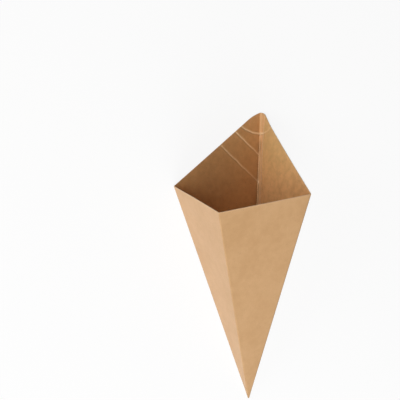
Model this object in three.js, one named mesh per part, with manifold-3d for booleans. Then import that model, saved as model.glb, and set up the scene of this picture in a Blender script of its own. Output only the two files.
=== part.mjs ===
// French fries cone: one sheet of kraft board, folded along four lines that meet in a point,
// and closed by a glue tab up its back. It lies on its back-left panel, with the tip towards -Y.
import * as THREE from 'three';
import { mergeVertices } from 'three/addons/utils/BufferGeometryUtils.js';
import Module from 'manifold-3d';

const wasm = await Module();
wasm.setup();

// Driving dimensions of the flat sheet, in millimetres and degrees
const board = 0.45; // thickness of the sheet
const panelAngle = 22.5; // angle of each panel at the tip, so that four use up a right angle
const sideEdge = 210; // from the tip to the left and right corners of the mouth
const frontEdge = 212.6; // from the tip to the front corner of the mouth
const backEdge = 262.5; // from the tip to where the two back rims would cross
const apexRadius = 10.5; // rounding of the high back corner
const tabWidth = 6; // glue tab, along the back fold
const tabStart = 24; // from the tip to where the tab begins
const tabTaper = 8; // length over which the tab reaches its width
const foldSwell = 0.01; // how far a folded edge stands proud of the panels beside it

// Creases pressed into the two back panels from the inside
const creaseWidth = 1.4;
const creaseDepth = 0.2;
const apexCreaseHeight = 240.6; // where the round crease crosses the back fold, from the tip
const apexCreaseRadius = 33;
const slantCreaseHeights = [221.8, 198.2]; // where the slanting creases leave the back fold

// Facets
const foldFacets = 16;
const apexFacets = 8;
const creaseFacets = 16;
const apexCreaseSteps = 96;

const kraft = new THREE.MeshStandardMaterial({
  name: 'kraft_board',
  color: '#c99f72',
  roughness: 0.75,
  metalness: 0,
});

const degree = Math.PI / 180;
const angle = panelAngle * degree;
const half = board / 2;

// The mouth is square, so the four folds lean from the axis by the angle whose cosine, squared,
// is the cosine of the panel angle
const lean = Math.acos(Math.sqrt(Math.cos(angle)));
const foldAlong = (x, y) => new THREE.Vector3(x * Math.sin(lean), y * Math.sin(lean), Math.cos(lean));
const fold = {
  back: foldAlong(0, 1),
  left: foldAlong(-1, 0),
  front: foldAlong(0, -1),
  right: foldAlong(1, 0),
};

// The panels lean less than the folds. The point is cut off blunt, where the walls are still one solid
const panelLean = Math.acos(Math.cos(lean) / Math.cos(angle / 2));
const tipCut = half / Math.sin(panelLean) - half;

// Half the angle of the high back corner on the flat sheet, between the back fold and either rim
const corner = new THREE.Vector2(sideEdge * Math.cos(angle), sideEdge * Math.sin(angle));
const apexHalfAngle = Math.atan2(corner.y, backEdge - corner.x);
const apexCentre = backEdge - apexRadius / Math.sin(apexHalfAngle);

// The bar that presses a crease: it sinks creaseDepth into the board, where it is creaseWidth across
const creaseRadius = (creaseWidth ** 2 / 4 + creaseDepth ** 2) / (2 * creaseDepth);
const creaseCentre = half - creaseDepth + creaseRadius;

// A closed geometry as a solid that can be joined and cut
function solid(geometry) {
  geometry.deleteAttribute('normal');
  geometry.deleteAttribute('uv');
  const merged = mergeVertices(geometry, 1e-5);
  return new wasm.Manifold(new wasm.Mesh({
    numProp: 3,
    vertProperties: new Float32Array(merged.attributes.position.array),
    triVerts: new Uint32Array(merged.index.array),
  }));
}

// The triangles of a solid as a geometry with flat faces
function geometryOf(manifold) {
  const mesh = manifold.getMesh();
  const shared = new THREE.BufferGeometry();
  shared.setAttribute('position', new THREE.BufferAttribute(mesh.vertProperties, 3));
  shared.setIndex(new THREE.BufferAttribute(mesh.triVerts, 1));
  const faceted = shared.toNonIndexed();
  faceted.computeVertexNormals();
  return faceted;
}

// A flat outline as a slab between two levels
function slab(outline, low, high) {
  const geometry = new THREE.ExtrudeGeometry(outline, {
    depth: high - low,
    bevelEnabled: false,
    curveSegments: apexFacets,
  });
  geometry.translate(0, 0, low);
  return solid(geometry);
}

// The frame of a panel: X up its fold, Y across the panel towards its other fold
function panelFrame(along, towards) {
  const across = towards.clone().addScaledVector(along, -towards.dot(along)).normalize();
  const normal = along.clone().cross(across);
  return new THREE.Matrix4().makeBasis(along, across, normal);
}

// A geometry's solid, made in a panel's own frame, turned to its place on the cone
function place(manifold, matrix) {
  return manifold.transform(matrix.elements);
}

// Outline of a back panel, from the tip up the back fold, round the high corner and down the rim
function backOutline() {
  const outline = new THREE.Shape();
  outline.moveTo(0, 0);
  outline.lineTo(apexCentre + apexRadius, 0);
  outline.absarc(apexCentre, 0, apexRadius, 0, Math.PI / 2 - apexHalfAngle, false);
  outline.lineTo(corner.x, corner.y);
  outline.closePath();
  return outline;
}

// Outline of a front panel, from the tip up the front fold and along the straight rim
function frontOutline() {
  const outline = new THREE.Shape();
  outline.moveTo(0, 0);
  outline.lineTo(frontEdge, 0);
  outline.lineTo(corner.x, corner.y);
  outline.closePath();
  return outline;
}

// Outline of the glue tab: a strip up the back fold, slanted off at its lower end
function tabOutline() {
  const outline = new THREE.Shape();
  outline.moveTo(tabStart, 0);
  outline.lineTo(backEdge, 0);
  outline.lineTo(backEdge, tabWidth);
  outline.lineTo(tabStart + tabTaper, tabWidth);
  outline.closePath();
  return outline;
}

// The round crease under the high corner, as a ring about a point on the back fold
function apexCrease() {
  const ring = new THREE.TorusGeometry(apexCreaseRadius, creaseRadius, creaseFacets, apexCreaseSteps);
  ring.translate(apexCreaseHeight + apexCreaseRadius, 0, creaseCentre);
  return solid(ring);
}

// A slanting crease: it leaves the back fold at a height, as steep as the rim of the panel opposite
function slantCrease(height) {
  const bar = new THREE.CylinderGeometry(creaseRadius, creaseRadius, 2 * backEdge, creaseFacets);
  bar.rotateZ(apexHalfAngle - Math.PI / 2);
  bar.translate(height, 0, creaseCentre);
  return solid(bar);
}

// A back panel with its creases in the face on the +Z side
function backPanel(creases) {
  return creases.reduce((panel, bar) => panel.subtract(bar), slab(backOutline(), -half, half));
}

// The glue tab, one board thick, on the +Z side of a back panel, with the round crease across it
function glueTab() {
  const space = slab(backOutline(), 0, board + half);
  const strip = slab(tabOutline(), 0, board + half).intersect(space);
  return strip.subtract(apexCrease().translate([0, 0, board]));
}

// A shape whose +Z side is the other side of the board
function turnedOver(manifold) {
  return manifold.mirror([0, 0, 1]);
}

// The rounded outside of a fold: a thin bar inside the board's thickness, a little shorter than the fold
function foldEdge(along, length) {
  const radius = half + foldSwell;
  const bar = new THREE.CylinderGeometry(radius, radius, length - half, foldFacets);
  bar.translate(0, (length - half) / 2, 0);
  const turn = new THREE.Quaternion().setFromUnitVectors(new THREE.Vector3(0, 1, 0), along);
  bar.applyQuaternion(turn);
  return solid(bar);
}

// All that lies below the blunt end of the point
function belowTip() {
  const block = new THREE.BoxGeometry(board * 10, board * 10, board * 10);
  block.translate(0, 0, tipCut - board * 5);
  return solid(block);
}

function coneSolid() {
  const slants = slantCreaseHeights.map(slantCrease);
  // The back-left panel's frame has its +Z side inside the cone, and the back-right panel's has it outside
  const pieces = [
    place(backPanel([apexCrease(), ...slants]), panelFrame(fold.back, fold.left)),
    place(turnedOver(backPanel([apexCrease()])), panelFrame(fold.back, fold.right)),
    place(turnedOver(glueTab()), panelFrame(fold.back, fold.right)),
    place(slab(frontOutline(), -half, half), panelFrame(fold.front, fold.left)),
    place(slab(frontOutline(), -half, half), panelFrame(fold.front, fold.right)),
    foldEdge(fold.back, apexCentre + apexRadius),
    foldEdge(fold.front, frontEdge),
    foldEdge(fold.left, sideEdge),
    foldEdge(fold.right, sideEdge),
  ];
  return pieces.reduce((joined, piece) => joined.add(piece)).subtract(belowTip());
}

const cone = new THREE.Mesh(geometryOf(coneSolid()), kraft);
cone.name = 'cone';

// Lying down: the back-left panel's outside faces down, and the middle of that panel points along +Y
const upwards = fold.back.clone().cross(fold.left).normalize();
const lengthwise = fold.back.clone().add(fold.left).normalize();
const sideways = lengthwise.clone().cross(upwards);
const laid = new THREE.Matrix4().makeBasis(sideways, lengthwise, upwards).transpose();

const friesCone = new THREE.Group();
friesCone.add(cone);
cone.quaternion.setFromRotationMatrix(laid);

// The origin is the middle of the room that the lying cone takes on the table
const box = new THREE.Box3().setFromObject(friesCone, true);
const middle = box.getCenter(new THREE.Vector3());
friesCone.position.set(-middle.x, -middle.y, -box.min.z);

export default friesCone;
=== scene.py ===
# %% [markdown]
# # A french fries cone of kraft board
#
# The real object is one die-cut sheet of brown kraft board. It is folded along four lines that meet in
# a point, and closed by a glue tab that runs up the inside of the back fold. It lies on its back-left
# panel, and the camera looks down into its mouth.
#
# This lesson builds it in the same order as the factory does: draw the flat blank, press the creases,
# fold it round, and only then give it its paper. The packed CAD model comes first, as a fixed frame.

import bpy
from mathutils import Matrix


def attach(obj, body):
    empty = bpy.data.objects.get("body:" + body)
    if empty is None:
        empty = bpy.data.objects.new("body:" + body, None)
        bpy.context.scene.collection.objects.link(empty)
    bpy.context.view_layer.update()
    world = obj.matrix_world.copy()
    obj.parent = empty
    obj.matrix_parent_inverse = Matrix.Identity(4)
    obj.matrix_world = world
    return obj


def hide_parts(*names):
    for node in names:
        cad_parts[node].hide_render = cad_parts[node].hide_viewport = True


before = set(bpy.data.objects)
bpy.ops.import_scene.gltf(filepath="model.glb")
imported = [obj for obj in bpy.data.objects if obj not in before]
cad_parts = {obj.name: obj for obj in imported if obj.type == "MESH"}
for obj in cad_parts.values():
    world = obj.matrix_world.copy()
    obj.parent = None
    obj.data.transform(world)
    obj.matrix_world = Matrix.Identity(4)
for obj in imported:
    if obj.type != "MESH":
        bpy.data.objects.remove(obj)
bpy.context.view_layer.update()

# %% [markdown]
# ## Tools
#
# numpy works out every surface as whole arrays, and bpy puts the result into Blender. A paper cone is
# easiest to think of in millimetres, so metres come in only when a mesh is made.

# %% Tools of this lesson
import math

import bpy
import numpy as np
from mathutils import Matrix, Vector, geometry

MM = 0.001
print("Blender", bpy.app.version_string, "- lengths below are in millimetres until a mesh is made")

# %% [markdown]
# ## The camera
#
# A camera could be placed by eye. Here its place was worked out from the five sharp corners of the cone,
# because a fold's true angle shows only from the true viewpoint. The lens is a moderate telephoto. It
# looks down from the left, and the cone stands nearly upright in the picture.

# %% Place the camera
EYE = Vector((-0.2685, 0.1626, 0.5541))
TOWARDS_EYE = Vector((-0.3989, 0.1639, 0.9022))
PICTURE_UP = Vector((0.1980, 0.9761, -0.0897))
SENSOR = 36.0
FOCAL_IN_PIXELS = 717.3
PICTURE_PIXELS = 400


def add_camera():
    """A pinhole camera with its three axes given: backwards, up and, as their cross product, right."""
    data = bpy.data.cameras.new("camera")
    data.sensor_width = SENSOR
    data.lens = FOCAL_IN_PIXELS / PICTURE_PIXELS * SENSOR
    camera = bpy.data.objects.new("camera", data)
    bpy.context.collection.objects.link(camera)
    back = TOWARDS_EYE.normalized()
    right = PICTURE_UP.cross(back).normalized()
    turned = Matrix((right, back.cross(right), back)).transposed().to_4x4()
    camera.matrix_world = Matrix.Translation(EYE) @ turned
    bpy.context.scene.camera = camera
    return camera


camera = add_camera()
print("lens", round(camera.data.lens, 2), "mm")

# %% [markdown]
# ## The flat blank
#
# The blank is much like a quarter disc with its centre at the tip. Four panels of 22.5 degrees fill it:
# back left, front left, front right and back right. The two front panels end in straight rims, and the
# two back panels rise to a rounded corner. A narrow glue tab hangs on the first edge.
#
# Angles and lengths are those of the CAD part, but the left half of the high corner is worn flatter. A
# place on the blank is (x, y), with the tip at (0, 0) and the back fold along x.

# %% Sizes of the blank
BOARD = 0.45
PANEL = math.radians(22.5)
SIDE_EDGE, FRONT_EDGE, BACK_EDGE = 210.0, 212.6, 262.5
APEX_RADIUS = 10.5
LEFT_REACH = 16.0   # the left half of the high corner is worn flatter, over this much of the rim
TAB_WIDTH, TAB_START, TAB_TAPER = 6.0, 24.0, 8.0
TIP_HOLE = 1.7      # the sheet begins this far from the point, so the folded tip has a pinhole
SEAM_SHORT = 0.3    # the last panel's free edge stops this short of the back fold
ARC_POINTS = 9      # on each half of the high corner
TAB_ARC_POINTS = 7  # and on the top of the glue tab

# The mouth's left corner, and of the high corner half the angle, the middle of the arc and the arc's end
corner_u, corner_v = SIDE_EDGE * math.cos(PANEL), SIDE_EDGE * math.sin(PANEL)
apex_half = math.atan2(corner_v, BACK_EDGE - corner_u)
apex_centre = BACK_EDGE - APEX_RADIUS / math.sin(apex_half)
arc_end = math.pi / 2 - apex_half


def polar(radius, angle):
    """Places at a radius from (0, 0), which is the tip, and at an angle from the x axis, the back fold."""
    return np.stack([radius * np.cos(angle), radius * np.sin(angle)], -1)


def apex_arc(start, end, count):
    """The rounded high corner: a circle of APEX_RADIUS about a point on the back fold."""
    return polar(APEX_RADIUS, np.linspace(start, end, count)) + (apex_centre, 0)


def left_corner(count):
    """The back-left panel's corner: a flatter arc from the top of the back fold, tangent to the rim.

    The arc touches the rim LEFT_REACH from where the rims would cross. Its radius follows from the two
    points and the tangent: half the squared chord over the chord's part square to the rim.
    """
    along = np.array([-math.cos(apex_half), math.sin(apex_half)])
    outward = np.array([math.sin(apex_half), math.cos(apex_half)])
    touch = (BACK_EDGE, 0) + LEFT_REACH * along
    chord = (apex_centre + APEX_RADIUS, 0) - touch
    radius = -(chord @ chord) / (2 * chord @ outward)
    centre = touch - radius * outward
    first, last = (math.atan2(*(p - centre)[::-1]) for p in (touch + chord, touch))
    return polar(radius, np.linspace(first, last, count)) + centre


def blank_corners():
    """The outline, anticlockwise: tip, tab, first arc, three mouth corners, second arc, free edge, tip."""
    tab_top = -math.asin(TAB_WIDTH / APEX_RADIUS)
    free_top = math.asin(SEAM_SHORT / APEX_RADIUS)
    return np.vstack([
        polar(TIP_HOLE, np.array([0.0])),
        [(TAB_START, 0), (TAB_START + TAB_TAPER, -TAB_WIDTH)],
        apex_arc(tab_top, 0, TAB_ARC_POINTS),
        left_corner(ARC_POINTS)[1:],
        [polar(SIDE_EDGE, PANEL), polar(FRONT_EDGE, 2 * PANEL), polar(SIDE_EDGE, 3 * PANEL)],
        apex_arc(arc_end, free_top, ARC_POINTS)[:, ::-1],
        [(SEAM_SHORT, TIP_HOLE)],
        polar(TIP_HOLE, np.array([3, 2, 1]) * PANEL),
    ])


outline = blank_corners()
print(len(outline), "corners; the blank is", np.ptp(outline, axis=0).round(1), "mm")

# %% [markdown]
# ## Where the mesh needs its points
#
# A regular grid would spend its points evenly, but a crease is one millimetre wide on a sheet of a
# quarter of a metre, and it runs at a slant. So the points are laid in rows beside every fold, crease and
# rim, with a loose honeycomb between them, and a Delaunay triangulation joins them up. The outline and
# the folds are given as edges that it has to keep.

# %% Rows of points
FOLD_ANGLES = np.arange(4) * PANEL
APEX_CREASE_HEIGHT, APEX_CREASE_RADIUS = 240.6, 33.0
SLANT_CREASES = (221.8, 198.2)
SLANT_EXTRA = math.radians(1.4)  # how much further from the back fold the slanting creases lean than in CAD
SLANT_LENGTH = 90.0              # of their rows of points, which run on past the rim
RING_SPREAD = 1.2                # half the angle that the rows along the round crease cover
GRID_SPAN = (-10, 270)           # the whole blank lies between these
ring_centre = APEX_CREASE_HEIGHT + APEX_CREASE_RADIUS
slant = apex_half + SLANT_EXTRA


def spaced(start, end, step):
    """Places on a straight line from start up to, but not at, end, about step apart."""
    start, end = np.array(start, float), np.array(end, float)
    count = max(1, math.ceil(np.hypot(*(end - start)) / step))
    return start + (end - start) * np.arange(count)[:, None] / count


def rows_beside(start, end, offsets, step):
    """Rows parallel to the line from start to end, each moved sideways by one of the offsets."""
    line = spaced(start, end, step)
    along = np.subtract(end, start) / np.hypot(*np.subtract(end, start))
    sideways = np.array([-along[1], along[0]])
    return np.vstack([line + sideways * offset for offset in offsets])


def ring_rows(offsets, step):
    """Rows along the round crease: circles about ring_centre with the crease's radius plus each offset."""
    angles = np.arange(-RING_SPREAD, RING_SPREAD, step / APEX_CREASE_RADIUS)
    rows = [polar(-(APEX_CREASE_RADIUS + offset), angles) + (ring_centre, 0) for offset in offsets]
    return np.vstack(rows)


def both_sides(*distances):
    """Each distance with a minus sign and as it is."""
    return [sign * d for d in distances for sign in (-1, 1)]


def slant_line(height):
    """A slanting crease climbs from the back fold nearly as steeply as the other back panel's rim falls."""
    return (height, 0), (height + SLANT_LENGTH * math.cos(slant), SLANT_LENGTH * math.sin(slant))


def honeycomb(step):
    """Points of a triangular grid over the whole blank: every second row is moved by half a step."""
    x, y = np.meshgrid(np.arange(*GRID_SPAN, step), np.arange(*GRID_SPAN, step * math.sqrt(3) / 2))
    x[::2] += step / 2
    return np.stack([x.ravel(), y.ravel()], -1)


crease_rows = [0, *both_sides(0.25, 0.5, 0.8, 1.2, 1.8)]
fold_rows = both_sides(0.12, 0.25, 0.4, 0.6, 1.0, 1.7)
rim_rows = (0.25, 0.6, 1.2, 2.2)
tab_rows = (-0.8, -1.2, -1.6, -2.1, -2.6, -3.2, -4, -5)
seam_rows = (-0.7, -1.6, -6.2, -7)
ring = ring_rows(crease_rows, step=0.7)
sides = list(zip(outline, np.roll(outline, -1, axis=0)))
rows = [
    *[rows_beside(polar(3.0, a), polar(BACK_EDGE, a), fold_rows, step=2.0) for a in FOLD_ANGLES],
    *[rows_beside(start, end, rim_rows, step=1.5) for start, end in sides],
    *[rows_beside(*slant_line(height), crease_rows, step=0.8) for height in SLANT_CREASES],
    ring,
    ring[:, ::-1],
    rows_beside((TAB_START, 0), (BACK_EDGE, 0), tab_rows, step=1.0),
    rows_beside((0, TAB_START), (0, BACK_EDGE), seam_rows, step=2.0),
    honeycomb(step=2.8),
]
print(sum(map(len, rows)), "candidate points")

# %% [markdown]
# Candidates outside the blank go. Two points closer than a fifth of a millimetre would make slivers, so
# one of them goes as well. Some rows run on past their crease, where they only make the mesh finer.

# %% Triangulate the blank
MARGIN = 0.18       # no loose point lies closer to the outline
FOLD_MARGIN = 0.08  # or to a fold
GRAIN = 0.2         # each square of this side keeps one loose point
TOUCHING = 1e-6     # points this close are one
INNER_FACES = 1     # asks for the triangles inside the outline only


def edge_distance(points, corners):
    """Distance of each point from the closest side of a closed polygon, side by side for all points."""
    ends = np.roll(corners, -1, axis=0)
    nearest = np.full(len(points), np.inf)
    for start, end in zip(corners, ends):
        run = end - start
        share = np.clip((points - start) @ run / (run @ run), 0, 1)
        nearest = np.minimum(nearest, np.linalg.norm(points - start - share[:, None] * run, axis=1))
    return nearest


def is_inside(points, corners):
    """True where a ray to the right crosses the polygon's sides an odd number of times."""
    inside = np.zeros(len(points), bool)
    x, y = points.T
    for (x0, y0), (x1, y1) in zip(corners, np.roll(corners, -1, axis=0)):
        if y0 != y1:
            inside ^= ((y0 > y) != (y1 > y)) & (x < x0 + (y - y0) * (x1 - x0) / (y1 - y0))
    return inside


def thinned(points, cell):
    """One point for each square cell that holds any."""
    keep = np.unique(np.round(points / cell).astype(int), axis=0, return_index=True)[1]
    return points[np.sort(keep)]


def kept_lines():
    """Points of the outline and the folds, finely divided, and the edges between them."""
    border = np.vstack([spaced(start, end, step=1.5) for start, end in sides])
    points = [border]
    first = np.arange(len(border))
    edges = [np.stack([first, np.roll(first, -1)], -1)]
    ends = [((TAB_START, 0), (apex_centre + APEX_RADIUS, 0))]
    lengths = (SIDE_EDGE, FRONT_EDGE, SIDE_EDGE)
    ends += [(polar(TIP_HOLE, a), polar(length, a)) for a, length in zip(FOLD_ANGLES[1:], lengths)]
    total = len(border)
    for start, end in ends:
        inner = spaced(start, end, step=1.0)[1:]
        tied = [np.argmin(np.linalg.norm(border - p, axis=1)) for p in (start, end)]
        chain = np.concatenate([tied[:1], total + np.arange(len(inner)), tied[1:]])
        edges.append(np.stack([chain[:-1], chain[1:]], -1))
        points.append(inner)
        total += len(inner)
    return np.vstack(points), np.vstack(edges)


def triangulate():
    """Flat places of all points and the three points of each triangle."""
    lines, edges = kept_lines()
    loose = np.vstack(rows)
    away = np.abs((loose @ np.array([-np.sin(FOLD_ANGLES), np.cos(FOLD_ANGLES)]))).min(axis=1)
    loose = loose[(away > FOLD_MARGIN) & (np.hypot(*loose.T) > TIP_HOLE + MARGIN)]
    loose = loose[is_inside(loose, outline)]
    loose = loose[edge_distance(loose, outline) > MARGIN]
    loose = thinned(loose, GRAIN)
    points = np.vstack([lines, loose])
    corners = [Vector(p) for p in points]
    made = geometry.delaunay_2d_cdt(corners, edges.tolist(), [], INNER_FACES, TOUCHING)
    flat = np.array([v[:] for v in made[0]])
    return flat, np.array(made[2])


flat, triangles = triangulate()
print(len(flat), "points and", len(triangles), "triangles on the flat blank")

# %% [markdown]
# ## Folding
#
# Every panel is turned rigidly about the tip. Only within a third of a millimetre of a fold does the
# board bend, round a small arc. The mouth is square, so the folds lean from the axis by an angle whose
# cosine, squared, is the cosine of the panel angle.
#
# The glue tab lies inside the back-right panel, so both are shifted by a board's thickness and the glue,
# and the stiff seam that they make pushes outward a little.

# %% The folding rule
FOLD_RADIUS = 0.30  # of the middle of the board round a fold
FULL_FOLD = 8.0     # from the tip to where the folds have that radius
LEAST_FOLD = 0.02   # share of it that they have at the tip
GLUE = 0.03
TAB_ROOT = 4.0      # from the tip to where the panels begin to make room for the tab
MAKE_WAY = 14.0     # the back-left panel is shifted for it within this distance of the fold
SEAM_OUT = 0.9      # how far the glued seam stands out at most
SEAM_FULL = 60.0    # from the tip to where it does
SEAM_REACH = 15.0   # distance from the fold over which that fades
SEAM_TOP = (225, 258)  # heights between which the seam sinks back by the share SEAM_DROP
SEAM_DROP = 0.45
lean = math.acos(math.sqrt(math.cos(PANEL)))
sin_lean, cos_lean = math.sin(lean), math.cos(lean)
FOLDS = np.array([[0, sin_lean, cos_lean], [-sin_lean, 0, cos_lean], [0, -sin_lean, cos_lean],
                  [sin_lean, 0, cos_lean], [0, sin_lean, cos_lean]])


def unit(v):
    """Vectors of length 1 along the given ones."""
    return v / np.linalg.norm(v, axis=-1, keepdims=True)


def across(fold, towards):
    """Unit vector in a panel, square to its fold."""
    return unit(towards - (fold * towards).sum(-1, keepdims=True) * fold)


from_first = across(FOLDS[:-1], FOLDS[1:])
from_second = across(FOLDS[1:], FOLDS[:-1])
inward = unit(np.cross(FOLDS[:-1], FOLDS[1:]))
between_panels = math.acos(from_first[0] @ from_second[3])
half_bend = (math.pi - between_panels) / 2
reach = FOLD_RADIUS * math.tan(half_bend)
tab_lift = BOARD + GLUE
print("panels meet at", round(math.degrees(between_panels), 2), "degrees")


def smooth(x, low, high):
    """0 below low, 1 above high, and a smooth step between them."""
    t = np.clip((x - low) / (high - low), 0, 1)
    return t * t * (3 - 2 * t)


def round_fold(distance, full_reach):
    """How an arc moves a point that is near a fold: sideways from the line, and inward from the panel.

    The arc touches the panel at full_reach from the line. A point at distance v has turned back by
    (1 - v / reach) of half the bend, so it stands at reach - R sin(turn), raised by R (1 - cos(turn)).
    """
    near = np.minimum(distance, full_reach)
    turn = (1 - near / full_reach) * half_bend
    radius = full_reach / math.tan(half_bend)
    return full_reach - radius * np.sin(turn) - near, radius * (1 - np.cos(turn))


def seam_out(u, v):
    """The seam is two boards and glue, stiffer than the panel, and pushes the back-right panel outward."""
    height = SEAM_OUT * smooth(u, TAB_ROOT, SEAM_FULL) * (1 - SEAM_DROP * smooth(u, *SEAM_TOP))
    return height * (1 - smooth(v, 0, SEAM_REACH))


def fold_panels(x, y):
    """Middle of the folded board, without relief: r cos(a) along a panel's fold and r sin(a) across it."""
    r, angle = np.hypot(x, y), np.arctan2(y, x)
    k = np.clip(angle // PANEL, 0, 3).astype(int)
    a = angle - k * PANEL
    room = reach * np.clip(r / FULL_FOLD, LEAST_FOLD, 1)
    v = r * np.sin(a)
    tab_plane = tab_lift * smooth(r, TAB_ROOT, TAB_START) - seam_out(r, 0)
    make_way = tab_plane / math.sin(between_panels) * (k == 0) * (1 - smooth(v, 0, MAKE_WAY))
    place = (r * np.cos(a))[:, None] * FOLDS[k] + (v + make_way)[:, None] * from_first[k]
    near_first = (v, from_first[k], k >= 0)
    near_second = (r * np.sin(PANEL - a), from_second[k], k < 3)
    for distance, sideways, bent in (near_first, near_second):
        shift, lift = round_fold(distance, room)
        place += bent[:, None] * (shift[:, None] * sideways + lift[:, None] * inward[k])
    return place - ((k == 3) * seam_out(y, x))[:, None] * inward[3]


def fold_tab(x, y):
    """The glue tab: turned in at the back fold, one board inside the back-right panel."""
    v = -y
    shift, lift = round_fold(v, np.full_like(v, reach))
    plane = tab_lift - seam_out(x, 0)
    sideways = v + shift + plane / math.tan(between_panels)
    outward = seam_out(x, v) - seam_out(x, 0)
    return (x[:, None] * FOLDS[0] + sideways[:, None] * from_second[3]
            + (lift + plane - outward)[:, None] * inward[3])


def fold_sheet(x, y):
    """The whole board: the tab lies below the first panel on the blank."""
    return np.where((y < 0)[:, None], fold_tab(x, y), fold_panels(x, y))


def facing(surface, x, y, step=0.02):
    """Unit normal of a surface over the blank, pointing into the cone: cross product of its two slopes."""
    along_x = surface(x + step, y) - surface(x - step, y)
    along_y = surface(x, y + step) - surface(x, y - step)
    return unit(np.cross(along_x, along_y))


# %% [markdown]
# ## Relief
#
# Real board is never quite flat. The creases are thin grooves that were pressed into the inside, uneven
# because the board was bent there and bent back. The big panels are bowed by a few tenths of a
# millimetre, the high corner of the back-right panel leans out, and the glue tab is swollen and ragged
# along its fold.
#
# All that is uneven comes from one helper: a ripple, which is a sum of a few sines. Its seed fixes it, so
# each run gives the same cone, and the same ripple can shape a furrow and colour it.

# %% An uneven line
SINES = 5
SINE_SUM = 2.6  # the sines' sum is divided by this, which brings most of it between -1 and 1


def ripple(t, length, seed):
    """A smooth random line, mostly between -1 and 1: a few sines of nearby lengths with random phases."""
    rng = np.random.default_rng(seed)
    lengths = length * rng.uniform(0.6, 2.2, SINES)
    phases = rng.uniform(0, 2 * math.pi, SINES)
    return np.sin(2 * math.pi * t[..., None] / lengths + phases).sum(-1) / SINE_SUM


sample = ripple(np.linspace(0, 300, 1000), 9, 3)
print("one ripple stays within 1 along", round(100 * (np.abs(sample) < 1).mean()), "% of its length")

# %% The creases
CREASE_DEPTH, CREASE_WIDTH = 0.28, 0.55
LIP_HEIGHT, LIP_PLACE, LIP_WIDTH = 0.4, 1.3, 0.5  # of the board beside it, the height as a share
WAVER = 0.16                                      # how far a crease mostly strays from its line
RING_ON_TAB = 1.3                                 # strength of the round crease on the glue tab
RING_ON_RIGHT, RING_FADE = 0.75, 0.45             # and on the back-right panel, where it fades
SLANT_STRENGTHS = (1.0, 0.75)                     # of the slanting creases, less so near the back fold
ONTO_TAB = 0.5                                    # they run on over the fold by this much
OTHER_RIPPLE = 90                                 # moves a ripple on, so that no two creases look alike


def bell(distance, width):
    """1 at no distance, and 1 / e at a distance of one width."""
    return np.exp(-((distance / width) ** 2))


def groove(distance, depth):
    """Cross-section of a crease: a bell of CREASE_WIDTH, with the board pushed up a little beside it."""
    lips = bell(np.abs(distance) - LIP_PLACE, LIP_WIDTH)
    return depth * (LIP_HEIGHT * lips - bell(distance, CREASE_WIDTH))


def back_frame(x, y):
    """Height up the back fold and distance from it, for the tab and the two back panels alike."""
    right = y > x
    return np.where(right, y, x), np.where(right, x, np.abs(y))


def creases(x, y):
    """Signed distance from each crease, its strength there, and the way along it, one row a crease."""
    u, v = back_frame(x, y)
    right = y > x
    away = np.hypot(u - ring_centre, v)
    way = np.arctan2(v, ring_centre - u) * APEX_CREASE_RADIUS
    on_left = (y > -ONTO_TAB) & ~right
    on_panels = np.where(right, RING_ON_RIGHT - RING_FADE * smooth(v, 4, 14), 1.0)
    ring_strength = np.where(y < 0, RING_ON_TAB, on_panels)
    found = [(APEX_CREASE_RADIUS - away, ring_strength, way + OTHER_RIPPLE * right)]
    for height, strength in zip(SLANT_CREASES, SLANT_STRENGTHS):
        distance = (u - height) * math.sin(slant) - v * math.cos(slant)
        weaker = 1 - 0.4 * (1 - smooth(v, 4, 22))
        found.append((distance, strength * weaker * on_left, v / math.sin(slant) + height))
    return [(d + WAVER * ripple(s, 9, 3 + i), w, s) for i, (d, w, s) in enumerate(found)]


def grooves(x, y):
    """Relief of the inner face alone, which carries all the creases."""
    total = np.zeros_like(x)
    for i, (distance, strength, way) in enumerate(creases(x, y)):
        uneven = 1 + 0.3 * ripple(way, 7, 20 + i)
        total += groove(distance, CREASE_DEPTH * strength * uneven)
    return total


print("grooves reach", -grooves(*flat.T).min().round(2), "mm into the board")

# %% Bowed panels and the leaning corner
BOWS = np.array([0.35, 0.25, -0.2, 0.5])  # inward bow of each panel at its rim
LEAN_OUT = 1.7                            # lean of the high corner LEAN_SPAN above where it starts
LEAN_SPAN = 38.0
LEAN_BELOW = 14.0                         # it starts this far below the round crease


def bows(x, y):
    """Inward bow of the panels: a half wave across each, growing from the tip, with a slow swing.

    The back-left panel, which lies on the table, has no swing.
    """
    r, angle = np.hypot(x, y), np.arctan2(y, x)
    k = np.clip(angle // PANEL, 0, 3).astype(int)
    middle = np.sin(np.clip(angle / PANEL - k, 0, 1) * math.pi)
    swing = 0.12 * ripple(r, 110, 41) * (k > 0) + 0.08 * ripple(x + 1.7 * y, 55, 42) * (k > 0)
    return (y > 0) * middle * (r / SIDE_EDGE) * (BOWS[k] + swing)


def lean_out(x, y):
    """The back-right panel's high corner bends out from the round crease up, less so beside the fold."""
    u, v = back_frame(x, y)
    above = np.clip(APEX_CREASE_RADIUS + LEAN_BELOW - np.hypot(u - ring_centre, v), 0, None)
    lean = -LEAN_OUT * (y > x) * (above / LEAN_SPAN) ** 1.6
    return lean * smooth(v, 0.3, 6) * (1 - smooth(v, 9, 24))


print("the high corner leans out by up to", -lean_out(*flat.T).min().round(2), "mm")

# %% The ragged glue tab
BULGE_HEIGHT, BULGE_PLACE, BULGE_WIDTH = 0.60, 0.50, 0.60
BULGE_TOP = (232, 239)   # heights between which the bulge ends, below the round crease
FURROW_DEPTH, FURROW_PLACE, FURROW_WIDTH = 0.15, 1.7, 0.65
FURROW_TOP = (231, 238)
EDGE_LIFT = 0.06         # of the tab's free edge
NO_RELIEF = (6, 40)      # from the tip, the stretch over which all relief sets in


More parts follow.
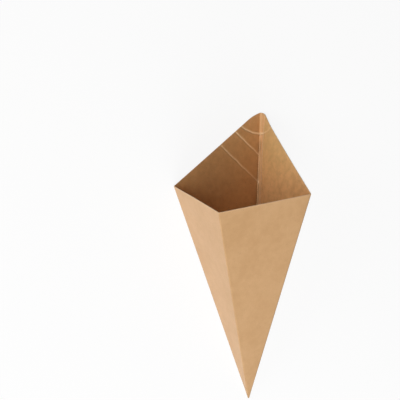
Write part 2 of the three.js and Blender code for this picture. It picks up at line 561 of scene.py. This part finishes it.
def seam_furrow(x, y):
    """1 along the furrow beside the bulge, below the round crease, weaker and stronger along it."""
    broken = smooth(0.85 + 0.3 * ripple(x, 29, 55) + 0.15 * ripple(x, 5, 57), 0, 1)
    across_furrow = bell(-y - FURROW_PLACE - 0.2 * ripple(x, 6, 56), FURROW_WIDTH)
    return broken * (1 - smooth(x, *FURROW_TOP)) * across_furrow


def tab_relief(x, y):
    """Swelling of the glue tab: a ragged bulge at the fold, a furrow, and a free edge that lifts a little."""
    v = -y
    ragged = 1 + 0.35 * ripple(x, 11, 50) + 0.2 * ripple(x, 3.5, 51)
    bulge = (1 - smooth(x, *BULGE_TOP)) * BULGE_HEIGHT * ragged * bell(v - BULGE_PLACE, BULGE_WIDTH)
    furrow = FURROW_DEPTH * seam_furrow(x, y)
    lifted = EDGE_LIFT * (1 + ripple(x, 17, 52)) * smooth(v, 3.2, TAB_WIDTH)
    return (y < 0) * smooth(v, 0, 0.4) * (bulge + lifted - furrow)


def relief(x, y):
    """All inward relief in millimetres, faded out next to the free edges at the tip."""
    tab_follows = np.where(y < 0, lean_out(-y, x), 0)
    total = bows(x, y) + lean_out(x, y) + tab_relief(x, y) + tab_follows
    return total * smooth(np.hypot(x, y), *NO_RELIEF)


def board_middle(x, y):
    """Middle of the board as it really lies: folded, with the relief along its facing."""
    return fold_sheet(x, y) + relief(x, y)[:, None] * facing(fold_sheet, x, y)


x, y = flat.T
middle = board_middle(x, y)
normal = facing(board_middle, x, y)
print("relief from", relief(x, y).min().round(2), "to", relief(x, y).max().round(2), "mm")

# %% [markdown]
# ## One closed sheet
#
# The board's two faces are the middle moved by half its thickness either way, and a band of narrow
# quads along the free edges is the cut edge. A Solidify modifier could do that too, but here the two
# faces and the cut edge have to be told apart for the paint, so they are made directly.
#
# The cone lies on its back-left panel. Three unit vectors say where its own axes point on the table.

# %% Lay the cone down
TIP = np.array([-4.566, -127.614, 0.235])  # where the folds meet, as the CAD part lies over its origin


def lay_down(points):
    """From the cone's own frame to the table: the back-left panel faces down and its middle is +Y."""
    up = inward[0]
    lengthwise = unit(FOLDS[0] + FOLDS[1])
    return points @ np.stack([np.cross(lengthwise, up), lengthwise, up]).T + TIP


half_board = np.full_like(x, BOARD / 2)[:, None]
faces_of = {
    "inside": lay_down(middle + normal * (half_board + grooves(x, y)[:, None])),
    "outside": lay_down(middle - normal * half_board),
}
for face, places in faces_of.items():
    print(face, "reaches from", places.min(0).round(2).tolist(), "to", places.max(0).round(2).tolist())

# %% [markdown]
# ## Where the paper is worn, and where shade and highlights are painted
#
# The paint needs to know where the board is worn, at the folds, creases, rims and the glue tab, where
# painted shade darkens it, where painted highlights lighten the creases, and where it is yellower. Each
# is a number for every point, from 0 to 1 or a little more, worked out from its place on the blank as the
# relief is, so that wear lies exactly on its crease.

# %% Wear, painted shade and painted highlight
FOLD_MARK_WIDTH, RIM_WEAR_WIDTH = 0.8, 0.7
NICKS = (APEX_CREASE_HEIGHT, SLANT_CREASES[1])  # heights of two pale nicks on the glue tab
NICK_HEIGHT, NICK_WIDTH, NICK_PLACE = 1.6, 1.1, -1.3
DARK_LINE_START, DARK_LINE_END = (100, 170), (228, 236)  # the line beside the fold sets in and ends here


def worn_shaded_folds(x, y):
    """1 on a fold and fading within about a millimetre."""
    flat_places = np.stack([x, y], -1)
    away = np.abs(flat_places @ np.array([-np.sin(FOLD_ANGLES), np.cos(FOLD_ANGLES)])).min(axis=1)
    return bell(away, FOLD_MARK_WIDTH)


def beside_creases(x, y, place, width):
    """A bell along each crease, with its middle this far up from the crease's, less where that is weaker."""
    return np.max([strength * bell(d - place, width) for d, strength, _ in creases(x, y)], axis=0)


def worn_lit_creases(x, y):
    """1 on the upper side of a crease, where its surface broke and where a painted highlight stands for its
    lit flank, and at the nicks beside the seam.
    """
    nicks = [bell(x - u, NICK_HEIGHT) * bell(y - NICK_PLACE, NICK_WIDTH) for u in NICKS]
    return np.max([beside_creases(x, y, place=0.2, width=0.75), *nicks], axis=0)


def dark_sides(x, y):
    """1 on the lower side of a crease, which is painted dark as painted shade."""
    return beside_creases(x, y, place=-0.85, width=0.5)


def seam_shade(x, y):
    """Painted shade, about 1 in the furrow on the glue tab and in a thin line on the other side of the back
    fold.
    """
    below_ring = smooth(x, *DARK_LINE_START) * (1 - smooth(x, *DARK_LINE_END))
    uneven = 0.85 + 0.25 * ripple(x, 13, 58)
    beside_fold = below_ring * uneven * (x > y) * bell(y - 0.5, 0.7)
    return np.clip(np.maximum(seam_furrow(x, y), beside_fold), 0, 1)


def rubbed_tab(x, y):
    """1 on the glue tab beside the fold, and weaker in two steps towards the tab's free edge."""
    return smooth(-y, -0.6, 0.3) * (1 - 0.45 * smooth(-y, 2.2, 3.2) - 0.4 * smooth(-y, 3.8, 4.8))


def worn_rims(x, y):
    """1 on the rims and free edges, and fading within a millimetre."""
    return np.exp(-edge_distance(np.stack([x, y], -1), outline) / RIM_WEAR_WIDTH)


for wear in (worn_shaded_folds, worn_lit_creases, worn_rims):
    print(wear.__name__, "cover", round(100 * wear(x, y).mean(), 1), "% of the points")

# %% Painted shade and yellower places


def umber(x, y):
    """How much painted shade darkens the inside: by the seam and high up on the back-left panel, low on the
    other.
    """
    u, v = back_frame(x, y)
    on_left = 0.45 * bell(v, 5) + 0.45 * smooth(u, 175, 205) * (1 - smooth(v, 40, 75))
    on_right = 0.4 * (1 - smooth(u, 190, 235))
    return (y > 0) * np.where(y < x, on_left, on_right)


def calm(x, y):
    """1 on the back-left panel, whose inside is less mottled than the others, and 0 elsewhere."""
    across_panel = np.arctan2(y, x) / PANEL
    return smooth(across_panel, 0, 0.05) * (1 - smooth(across_panel, 0.95, 1))


def straw(x, y):
    """How much yellower the inside is: on the back-right panel, more towards the high corner."""
    return (y > x) * smooth(y, 190, 235)


paint = {
    "fold_wear_and_shade": worn_shaded_folds(x, y),
    "crease_wear_and_highlight": worn_lit_creases(x, y),
    "crease_dark": dark_sides(x, y),
    "tab_wear": rubbed_tab(x, y),
    "seam_shade": seam_shade(x, y),
    "umber": umber(x, y),
    "straw": straw(x, y),
    "calm": calm(x, y),
    "rim": worn_rims(x, y),
}
print(len(paint), "kinds of paint, from", min(map(np.min, paint.values())).round(2),
      "to", max(map(np.max, paint.values())).round(2))

# %% [markdown]
# ## The mesh
#
# Numpy arrays go into Blender in one call each. The numbers for the paint become attributes of the mesh,
# and the flat places go into the UV map, the inside next to the outside, so that fibres and clouds lie in
# the sheet and run on round the folds. Faces that meet at more than CRISP are not smoothed into each
# other, which keeps the cut edge sharp.

# %% Build the mesh
UV_SIZE = 560.0                              # millimetres across the whole UV map
UV_INSIDE, UV_OUTSIDE = (20, 20), (300, 20)  # where the tip lies on it, for either face
CRISP = math.radians(38)


def free_edges(triangles):
    """Directed edges that belong to one triangle only."""
    edges = np.vstack([triangles[:, [0, 1]], triangles[:, [1, 2]], triangles[:, [2, 0]]])
    key = edges[:, 0] * (edges.max() + 1) + edges[:, 1]
    turned = edges[:, 1] * (edges.max() + 1) + edges[:, 0]
    return edges[~np.isin(key, turned)]


def new_attribute(mesh, name, values, domain="POINT"):
    """Stores one number for each point, or for each face, under a name that a material can ask for."""
    layer = mesh.attributes.new(name, "FLOAT", domain)
    layer.data.foreach_set("value", np.asarray(values, np.float32))


def sheet_mesh():
    """Inside points first, then outside points; the cut edge joins each border point to its partner."""
    count = len(flat)
    places = np.vstack([faces_of["inside"], faces_of["outside"]]) * MM
    a, b = free_edges(triangles).T
    cut_edge = np.stack([b, a, a + count, b + count], -1)
    polygons = triangles.tolist() + (triangles[:, ::-1] + count).tolist() + cut_edge.tolist()
    mesh = bpy.data.meshes.new("folded_sheet")
    mesh.from_pydata(places, [], polygons)
    blank = np.vstack([flat + UV_INSIDE, flat + UV_OUTSIDE]) / UV_SIZE
    corner = np.zeros(len(mesh.loops), np.int64)
    mesh.loops.foreach_get("vertex_index", corner)
    edge_loops = 6 * len(triangles)
    corner[edge_loops:] %= count
    mesh.uv_layers.new(name="blank").uv.foreach_set("vector", blank[corner].astype(np.float32).ravel())
    new_attribute(mesh, "inside", np.repeat([1, 0], count))
    for name, values in paint.items():
        new_attribute(mesh, name, np.tile(values, 2))
    new_attribute(mesh, "cut", np.repeat([0, 1], [2 * len(triangles), len(cut_edge)]), "FACE")
    mesh.shade_smooth()
    mesh.set_sharp_from_angle(angle=CRISP)
    return mesh


sheet = bpy.data.objects.new("folded_sheet", sheet_mesh())
bpy.context.collection.objects.link(sheet)
print(len(sheet.data.polygons), "faces; mesh valid:", not sheet.data.validate())

# %% [markdown]
# ## Writing shader sums in Python
#
# Materials here are sums, such as clouds plus fibres. Wired by hand they are hard to read, so one small
# class wraps a socket, and plus, minus and times on it add the Math nodes. Any other node comes from one
# method, which takes its settings first and then the values of its sockets.

# %% Sockets that can be added
class Wire:
    """An output socket that can stand in a sum with numbers and other wires."""

    def __init__(self, finish, socket):
        self.finish, self.socket = finish, socket

    def __add__(self, other):
        return self.finish.math("ADD", self, other)

    def __sub__(self, other):
        return self.finish.math("SUBTRACT", self, other)

    def __rsub__(self, other):
        return self.finish.math("SUBTRACT", other, self)

    def __mul__(self, other):
        return self.finish.math("MULTIPLY", self, other)

    __radd__ = __add__
    __rmul__ = __mul__


class Finish:
    """The node tree of one material, or of the world."""

    def __init__(self, owner):
        self.owner = owner
        owner.use_nodes = True
        self.tree = owner.node_tree
        self.tree.nodes.clear()

    def node(self, kind, settings=(), sockets=(), output=0):
        """Adds a node: settings are its attributes, sockets its inputs by name or number."""
        made = self.tree.nodes.new(kind)
        for name, value in dict(settings).items():
            setattr(made, name, value)
        for name, value in dict(sockets).items():
            if isinstance(value, Wire):
                self.tree.links.new(value.socket, made.inputs[name])
            else:
                made.inputs[name].default_value = value
        return Wire(self, made.outputs[output])

    def math(self, operation, *values):
        """A Math node, with wires or numbers in its sockets."""
        return self.node("ShaderNodeMath", {"operation": operation}, enumerate(values))

    def step(self, wire, low, high):
        """0 below low, 1 above high, smooth between."""
        settings = {"interpolation_type": "SMOOTHSTEP"}
        return self.node("ShaderNodeMapRange", settings, {"Value": wire, "From Min": low, "From Max": high})

    def mix(self, share, first, second):
        """The first colour where share is 0 and the second where it is 1."""
        sockets = {0: share, 6: first, 7: second}
        return self.node("ShaderNodeMix", {"data_type": "RGBA"}, sockets, output=2)

    def attribute(self, name):
        """A number that is stored on the mesh."""
        return self.node("ShaderNodeAttribute", {"attribute_name": name}, output=2)

    def noise(self, place, size, stretch=(1, 1, 1), detail=2.0, rough=0.5, shift=0.0):
        """Noise whose patches are about size millimetres, longer along an axis with a stretch above 1."""
        scale = [1 / (size * s) for s in stretch]
        sockets = {"Vector": place, "Scale": scale, "Location": (shift, shift, shift)}
        placed = self.node("ShaderNodeMapping", {"vector_type": "POINT"}, sockets)
        return self.node("ShaderNodeTexNoise", {"noise_dimensions": "2D"},
                         {"Vector": placed, "Scale": 1.0, "Detail": detail, "Roughness": rough})

    def output(self, shader, kind="ShaderNodeOutputMaterial"):
        """Ends the tree, and gives the material or world back."""
        made = self.tree.nodes.new(kind)
        self.tree.links.new(shader.socket, made.inputs["Surface"])
        return self.owner


print("a finish is written with", [name for name in vars(Finish) if not name.startswith("_")])

# %% [markdown]
# ## Kraft board
#
# Unbleached kraft is brown because the lignin stays in the pulp. Close up it is a felt of fine fibres a
# few millimetres long, most of them along the machine direction, with a few dark specks of bark and some
# pale fibres. From further away it is cloudy, because the pulp settles in flocks. The inside of this
# sheet is redder and more mottled than the outside.
#
# Where the board is creased or rubbed, its surface breaks and pale fibres show, and the upper flank of
# each crease is painted lighter still as a painted highlight. The outer folds are painted a little darker,
# as painted shade that takes the highlight off their round edge.

# %% The paper's finish
OUTER_DARK = (0.568, 0.320, 0.133, 1)
OUTER_LIGHT = (0.642, 0.378, 0.174, 1)
INNER_DARK = (0.565, 0.274, 0.087, 1)
INNER_LIGHT = (0.790, 0.404, 0.150, 1)
# colour of the painted shade inside the cone
SHADE_BROWN = (0.460, 0.240, 0.095, 1)
STRAW = (0.700, 0.470, 0.170, 1)
# colour of the painted shade in the seam and beside the creases
SHADE_DARK = (0.290, 0.130, 0.040, 1)
# colour of the painted shade on the outer folds
FOLD_SHADE_BROWN = (0.470, 0.270, 0.120, 1)
BARK = (0.250, 0.120, 0.045, 1)
PALE_FIBRE = (0.760, 0.540, 0.330, 1)
# colour of the broken fibres and painted highlight on the creases
BROKEN_FACE_AND_HIGHLIGHT = (1.000, 0.720, 0.410, 1)
RUBBED_TAB = (0.880, 0.560, 0.280, 1)
RAW_EDGE = (0.880, 0.640, 0.390, 1)
CLOUD, FLOCK, BLOT, SPECK, FIBRE = 30, 6, 3.2, 0.9, 0.35  # sizes of the patterns in millimetres


def kraft_board():
    """Clouds, flocks and fibres blend a dark and a light brown, with other browns for the two faces.

    Painted shade and yellower places, specks, pale fibres, folds with their painted shade, the glue tab,
    painted shade in the seam and beside the creases, rims, creases with their painted highlight and the raw
    edge are then laid over that, one after the other.
    """
    f = Finish(bpy.data.materials.new("kraft_board_paper"))
    flat_place = f.node("ShaderNodeUVMap", {"uv_map": "blank"})
    place = f.node("ShaderNodeVectorMath", {"operation": "SCALE"}, {0: flat_place, "Scale": UV_SIZE})
    inside, cut = f.attribute("inside"), f.attribute("cut")
    clouds = f.noise(place, CLOUD, shift=3.1)
    flocks = f.noise(place, FLOCK, detail=2.5, rough=0.55, shift=7.7)
    fibres = f.noise(place, FIBRE, (1, 7, 1), rough=0.6, shift=1.9)
    cross_fibres = f.noise(place, FIBRE, (5, 1, 1), rough=0.6, shift=5.3)
    blots = f.noise(place, BLOT, (1.2, 1, 1), detail=1.5, shift=9.4)
    clear = clouds * 0.35 + flocks * 0.25 + fibres * 0.3 + cross_fibres * 0.1
    cloudy = clouds * 0.3 + flocks * 0.35 + blots * 0.22 + fibres * 0.09 + cross_fibres * 0.04
    cloudy = 0.5 + (cloudy - 0.5) * (1 - f.attribute("calm") * 0.45)
    tone = clear + (cloudy - clear) * inside
    light = f.step(tone, 0.32, 0.68)
    outer = f.mix(light, OUTER_DARK, OUTER_LIGHT)
    inner = f.mix(light, INNER_DARK, INNER_LIGHT)
    # painted shade: the inside is darkened by the seam, high on the back-left panel and low on the back-right
    # one
    inner = f.mix(f.attribute("umber") * 0.45, inner, SHADE_BROWN)
    inner = f.mix(f.attribute("straw") * 0.45, inner, STRAW)
    colour = f.mix(inside, outer, inner)

    specks = f.step(f.noise(place, SPECK, (1, 1.8, 1), detail=1.0, shift=12.6), 0.755, 0.80)
    colour = f.mix(specks * (0.25 + 0.3 * inside), colour, BARK)
    pale = f.step(f.noise(place, 0.3, (1, 12, 1), detail=1.0, shift=21.2), 0.70, 0.80)
    colour = f.mix(pale * 0.3, colour, PALE_FIBRE)

    ragged = f.step(f.noise(place, 0.7, detail=3.0, rough=0.7, shift=15.5), 0.30, 0.62)
    bent = f.attribute("fold_wear_and_shade") * (1 - inside)
    lit_worn_crease = f.attribute("crease_wear_and_highlight") * inside * (0.55 + ragged * 0.45)
    worn_rim = f.attribute("rim") * ragged * 0.5
    # painted shade: the outer folds are darkened here, which takes the highlight off their round edge
    colour = f.mix(bent * 0.45, colour, FOLD_SHADE_BROWN)
    colour = f.mix(f.attribute("tab_wear") * inside * 0.6, colour, RUBBED_TAB)
    # painted shade in the seam's furrow, beside the back fold and on the lower side of each crease
    shaded = f.math("MAXIMUM", f.attribute("seam_shade") * 0.9, f.attribute("crease_dark") * 0.35)
    colour = f.mix(shaded * inside, colour, SHADE_DARK)
    colour = f.mix(worn_rim * 0.75, colour, PALE_FIBRE)
    # broken fibres and a painted highlight: the upper flank of each crease is painted much lighter
    colour = f.mix(lit_worn_crease * 0.95, colour, BROKEN_FACE_AND_HIGHLIGHT)
    colour = f.mix(cut * 0.9, colour, RAW_EDGE)

    tooth = fibres * 0.5 + cross_fibres * 0.3 + f.noise(place, SPECK, detail=3.0, shift=31.0) * 0.5
    worn = f.math("MAXIMUM", bent * ragged * 0.5, f.math("MAXIMUM", lit_worn_crease, worn_rim))
    height = tooth + worn * 0.6 + flocks * 0.8
    bump = f.node("ShaderNodeBump", {}, {"Height": height, "Strength": 0.35, "Distance": 0.06 * MM})
    roughness = 0.62 + worn * 0.2 + tooth * 0.06 - clouds * 0.05
    shader = f.node("ShaderNodeBsdfPrincipled", {}, {
        "Base Color": colour,
        "Roughness": roughness,
        "Normal": bump,
        "IOR": 1.45,
        "Sheen Weight": 0.25,
        "Sheen Roughness": 0.5,
    })
    return f.output(shader)


sheet.data.materials.append(kraft_board())
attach(sheet, "root")
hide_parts("cone")
print("the paper's finish has", len(sheet.active_material.node_tree.nodes), "nodes")

# %% [markdown]
# ## Table and light
#
# The picture is a plain packshot: a white table without an edge, big soft lights from the left and from
# below the picture, and some weak light from everywhere. Lamps strong enough to turn the whole table white
# would bleach the board, so the rays that show the table find it partly glowing. It keeps a pale shadow.

# %% The table
TABLE_SIZE = 6.0
TABLE_STEPS = 8  # squares along each side
TABLE_WHITE = (0.80, 0.80, 0.79, 1)
TABLE_SEEN = (0.98, 0.98, 0.98, 1)
TABLE_GLOW = 0.88


def seen_rays(f):
    """1 for rays that show the table or the sky: from the camera, by a reflection or through glass."""
    kinds = ("Is Camera Ray", "Is Glossy Ray", "Is Transmission Ray")
    camera_ray, glossy, through = (f.node("ShaderNodeLightPath", output=kind) for kind in kinds)
    return f.math("MAXIMUM", camera_ray, f.math("MAXIMUM", glossy, through))


def table_top():
    """Diffuse white for all light; a seen ray gets a share TABLE_GLOW of plain white instead."""
    f = Finish(bpy.data.materials.new("table_top"))
    seen = seen_rays(f)
    diffuse = f.node("ShaderNodeBsdfDiffuse", {}, {"Color": f.mix(seen, TABLE_WHITE, TABLE_SEEN)})
    white = f.node("ShaderNodeEmission", {}, {"Color": (1, 1, 1, 1), "Strength": 1.0})
    return f.output(f.node("ShaderNodeMixShader", {}, {0: seen * TABLE_GLOW, 1: diffuse, 2: white}))


def add_table():
    """A flat square grid at z = 0."""
    row = TABLE_STEPS + 1
    side = np.linspace(-TABLE_SIZE / 2, TABLE_SIZE / 2, row)
    gx, gy = np.meshgrid(side, side)
    places = np.stack([gx.ravel(), gy.ravel(), np.zeros(gx.size)], -1)
    first = (np.arange(TABLE_STEPS)[:, None] * row + np.arange(TABLE_STEPS)).ravel()
    squares = np.stack([first, first + 1, first + row + 1, first + row], -1)
    mesh = bpy.data.meshes.new("table")
    mesh.from_pydata(places, [], squares.tolist())
    table = bpy.data.objects.new("table", mesh)
    bpy.context.collection.objects.link(table)
    mesh.materials.append(table_top())
    return table


table = add_table()
print("table of", TABLE_SIZE, "m")

# %% [markdown]
# One lamp could light the cone, but each panel of the picture has its own tone: the front-left one is the
# palest and the inside of the back-left one the darkest. Three soft boxes, all the same size and equally
# far away, give those tones by their directions and powers.

# %% The lamps
SKY = 0.09
MIDDLE = Vector((0.0, 0.02, 0.03))  # the lamps face this point, inside the cone
LAMP_AWAY, LAMP_SIZE = 1.4, 1.0     # metres
LAMPS = {
    "low_left": {"azimuth": 160, "height": 15, "power": 10.4},
    "high_left": {"azimuth": 230, "height": 55, "power": 10.2},
    "below_picture": {"azimuth": 260, "height": 35, "power": 7.7},
}


def add_lamp(name, azimuth, height, power):
    """A square soft box that faces the cone. Azimuth is counted from +X towards +Y, in degrees."""
    data = bpy.data.lights.new(name, "AREA")
    data.size, data.energy = LAMP_SIZE, power
    lamp = bpy.data.objects.new(name, data)
    bpy.context.collection.objects.link(lamp)
    a, h = math.radians(azimuth), math.radians(height)
    direction = Vector((math.cos(a) * math.cos(h), math.sin(a) * math.cos(h), math.sin(h)))
    turned = direction.to_track_quat("Z", "Y").to_matrix().to_4x4()
    lamp.matrix_world = Matrix.Translation(MIDDLE + direction * LAMP_AWAY) @ turned
    return lamp


def add_sky():
    """Even light of strength SKY, which seen rays find white."""
    world = bpy.data.worlds.new("studio")
    bpy.context.scene.world = world
    f = Finish(world)
    strength = SKY + seen_rays(f) * (1 - SKY)
    background = f.node("ShaderNodeBackground", {}, {"Color": (1, 1, 1, 1), "Strength": strength})
    f.output(background, "ShaderNodeOutputWorld")


lamps = {name: add_lamp(name, **lamp) for name, lamp in LAMPS.items()}
add_sky()
bpy.context.scene.view_settings.view_transform = "Standard"
print(len(lamps), "lamps and an even sky")

# %% [markdown]
# ## The room it fills
#
# The dressed cone has to fill the same room as the CAD part.
